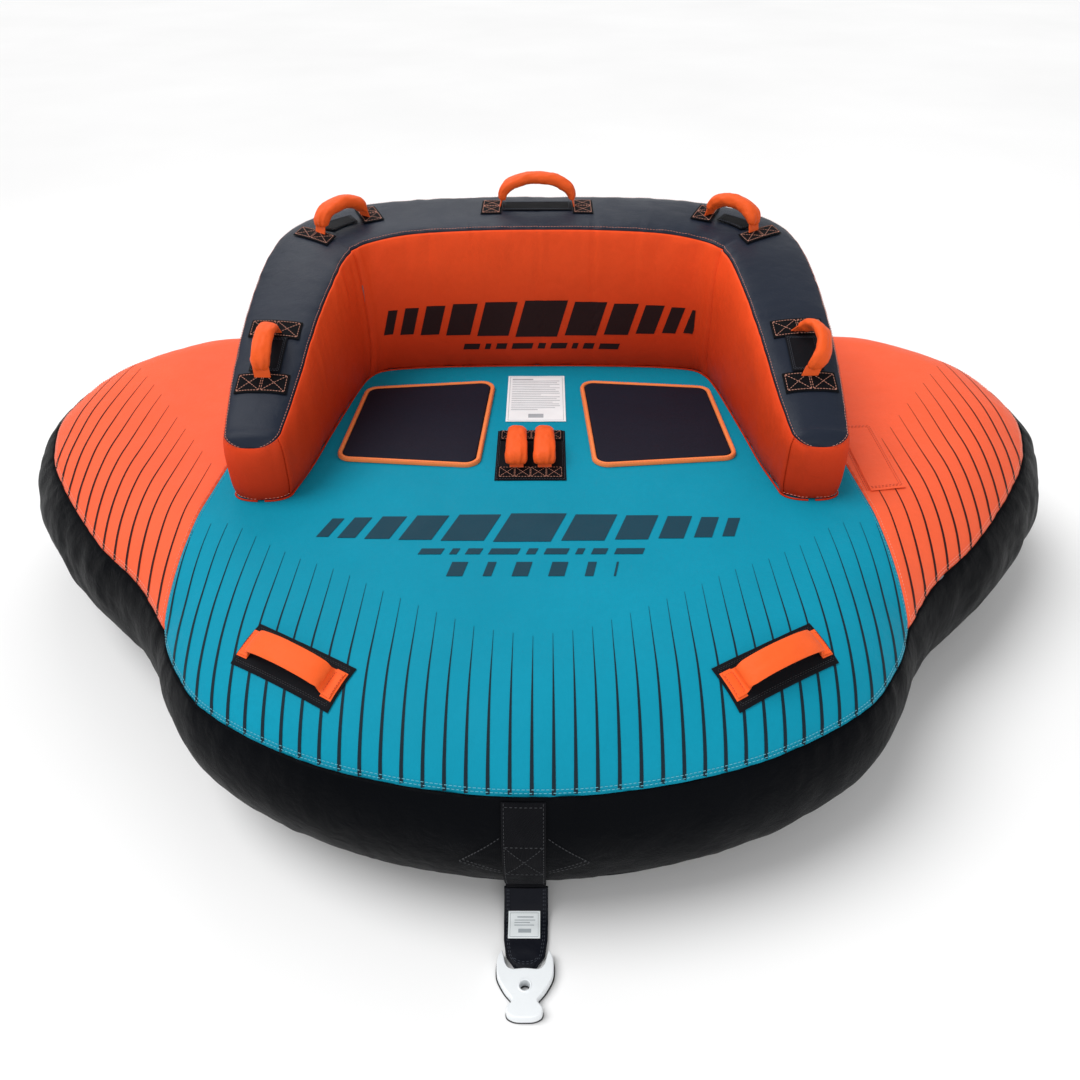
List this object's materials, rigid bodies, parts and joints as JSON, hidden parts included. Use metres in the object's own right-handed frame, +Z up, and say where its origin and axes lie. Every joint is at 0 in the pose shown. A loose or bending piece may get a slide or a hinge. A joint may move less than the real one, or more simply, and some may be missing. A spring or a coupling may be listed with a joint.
{
  "type": "towable tube",
  "caption": "Two-rider deck tube: flat winged inflatable hull, U-shaped backrest, padded grips, seat pads and a tow strap with a quick connector.",
  "frame": {"origin": "centre of the flat bottom, on the ground", "axes": "+Z up, -Y towards the tow boat (the bow, with the tow strap), +X across the tube to the side of the left wing"},
  "size_m": [2.4998, 1.8497, 0.8739],
  "materials": {
    "teal_fabric": "matte",
    "orange_fabric": "matte",
    "wing_orange_fabric": "matte",
    "charcoal_fabric": "satin",
    "black_fabric": "satin",
    "black_webbing": "matte",
    "foam_pad": "matte",
    "piping": "matte",
    "neoprene": "matte",
    "label_white": "satin",
    "bladder_pvc": "satin",
    "valve_plastic": "satin",
    "white_plastic": "satin"
  },
  "bodies": {
    "tube": {"bottom_cover": "black_fabric", "side_band": "black_fabric", "deck_cover": "teal_fabric", "wing_cover_left": "wing_orange_fabric", "wing_cover_right": "wing_orange_fabric", "hull_bladder": "bladder_pvc", "backrest_bladder": "bladder_pvc", "backrest_inner_cover": "orange_fabric", "backrest_outer_cover": "orange_fabric", "backrest_top_cover": "charcoal_fabric", "hull_valve_body": "bladder_pvc", "backrest_valve_body": "bladder_pvc", "seat_pad_left": "foam_pad", "seat_pad_right": "foam_pad", "seat_piping_left": "piping", "seat_piping_right": "piping", "deck_label": "label_white", "centre_patch": "neoprene", "centre_bar_front": "black_webbing", "centre_bar_rear": "black_webbing", "deck_patch_left": "neoprene", "deck_patch_right": "neoprene", "tow_web": "black_webbing", "strap_tab_inner_left": "orange_fabric", "strap_tab_inner_right": "orange_fabric", "strap_tab_outer_left": "orange_fabric", "strap_tab_outer_right": "orange_fabric", "grip_bar_arm_left_front": "black_webbing", "grip_bar_arm_left_rear": "black_webbing", "grip_bar_arm_right_front": "black_webbing", "grip_bar_arm_right_rear": "black_webbing", "grip_bar_rear_left_front": "black_webbing", "grip_bar_rear_left_rear": "black_webbing", "grip_bar_rear_right_front": "black_webbing", "grip_bar_rear_right_rear": "black_webbing", "grip_bar_rear_centre_left": "black_webbing", "grip_bar_rear_centre_right": "black_webbing", "knuckle_guard_arm_left": "neoprene", "knuckle_guard_arm_right": "neoprene", "knuckle_guard_rear_left": "neoprene", "knuckle_guard_rear_right": "neoprene", "knuckle_guard_rear_centre": "neoprene"},
    "grip_arm_left_body": {"grip_arm_left": "orange_fabric"},
    "grip_arm_right_body": {"grip_arm_right": "orange_fabric"},
    "grip_rear_left_body": {"grip_rear_left": "orange_fabric"},
    "grip_rear_right_body": {"grip_rear_right": "orange_fabric"},
    "grip_rear_centre_body": {"grip_rear_centre": "orange_fabric"},
    "centre_grip_left_body": {"centre_grip_left": "orange_fabric"},
    "centre_grip_right_body": {"centre_grip_right": "orange_fabric"},
    "deck_strap_left_body": {"deck_strap_left": "orange_fabric"},
    "deck_strap_right_body": {"deck_strap_right": "orange_fabric"},
    "hull_valve_cap_body": {"hull_valve_cap": "valve_plastic"},
    "backrest_valve_cap_body": {"backrest_valve_cap": "valve_plastic"},
    "valve_flap_body": {"hull_valve_flap": "wing_orange_fabric"},
    "tow_tail_body": {"tow_strap_tail": "black_fabric", "strap_label": "label_white"},
    "connector_body": {"tow_connector": "white_plastic", "connector_back_plate": "valve_plastic"}
  },
  "joints": [
    {"name": "grip_arm_left_swing", "type": "hinge", "parent": "tube", "child": "grip_arm_left_body", "pos_m": [0.55963, 0.06213, 0.66754], "axis": [-0.0408, 0.922, 0.3852], "range_deg": [-30, 30]},
    {"name": "grip_arm_right_swing", "type": "hinge", "parent": "tube", "child": "grip_arm_right_body", "pos_m": [-0.55963, 0.06213, 0.66754], "axis": [0.0408, 0.922, 0.3852], "range_deg": [-30, 30]},
    {"name": "grip_rear_left_swing", "type": "hinge", "parent": "tube", "child": "grip_rear_left_body", "pos_m": [0.46862, 0.53665, 0.78946], "axis": [-0.7084, 0.7013, 0.0797], "range_deg": [-30, 30]},
    {"name": "grip_rear_right_swing", "type": "hinge", "parent": "tube", "child": "grip_rear_right_body", "pos_m": [-0.46862, 0.53665, 0.78946], "axis": [0.7084, 0.7013, 0.0797], "range_deg": [-30, 30]},
    {"name": "grip_rear_centre_swing", "type": "hinge", "parent": "tube", "child": "grip_rear_centre_body", "pos_m": [0, 0.613, 0.80761], "axis": [1, 0, 0], "range_deg": [-30, 30]},
    {"name": "centre_grip_left_swing", "type": "hinge", "parent": "tube", "child": "centre_grip_left_body", "pos_m": [0.018, 0.047, 0.4364], "axis": [0, 1, 0], "range_deg": [-30, 30]},
    {"name": "centre_grip_right_swing", "type": "hinge", "parent": "tube", "child": "centre_grip_right_body", "pos_m": [-0.043, 0.047, 0.4364], "axis": [0, 1, 0], "range_deg": [-30, 30]},
    {"name": "deck_strap_left_swing", "type": "hinge", "parent": "tube", "child": "deck_strap_left_body", "pos_m": [0.40832, -0.59882, 0.41998], "axis": [0.8608, 0.5088, 0.0097], "range_deg": [-25, 25]},
    {"name": "deck_strap_right_swing", "type": "hinge", "parent": "tube", "child": "deck_strap_right_body", "pos_m": [-0.40832, -0.59882, 0.41998], "axis": [-0.8608, 0.5088, 0.0097], "range_deg": [-25, 25]},
    {"name": "hull_valve_cap_turn", "type": "hinge", "parent": "tube", "child": "hull_valve_cap_body", "pos_m": [0.738, 0.03, 0.4095], "axis": [0, 0, 1], "range_deg": [0, 540]},
    {"name": "backrest_valve_cap_turn", "type": "hinge", "parent": "tube", "child": "backrest_valve_cap_body", "pos_m": [-0.3, 0.7265, 0.61], "axis": [0, 1, 0], "range_deg": [0, 540]},
    {"name": "valve_flap_lift", "type": "hinge", "parent": "tube", "child": "valve_flap_body", "pos_m": [0.7, 0.036, 0.4218], "axis": [0, -1, 0], "range_deg": [0, 100]},
    {"name": "tow_tail_lift", "type": "hinge", "parent": "tube", "child": "tow_tail_body", "pos_m": [-0.015, -0.778, 0.052], "axis": [-1, 0, 0], "range_deg": [0, 38]},
    {"name": "connector_lift", "type": "hinge", "parent": "tow_tail_body", "child": "connector_body", "pos_m": [-0.015, -0.885, 0.011], "axis": [-1, 0, 0], "range_deg": [0, 40]}
  ]
}
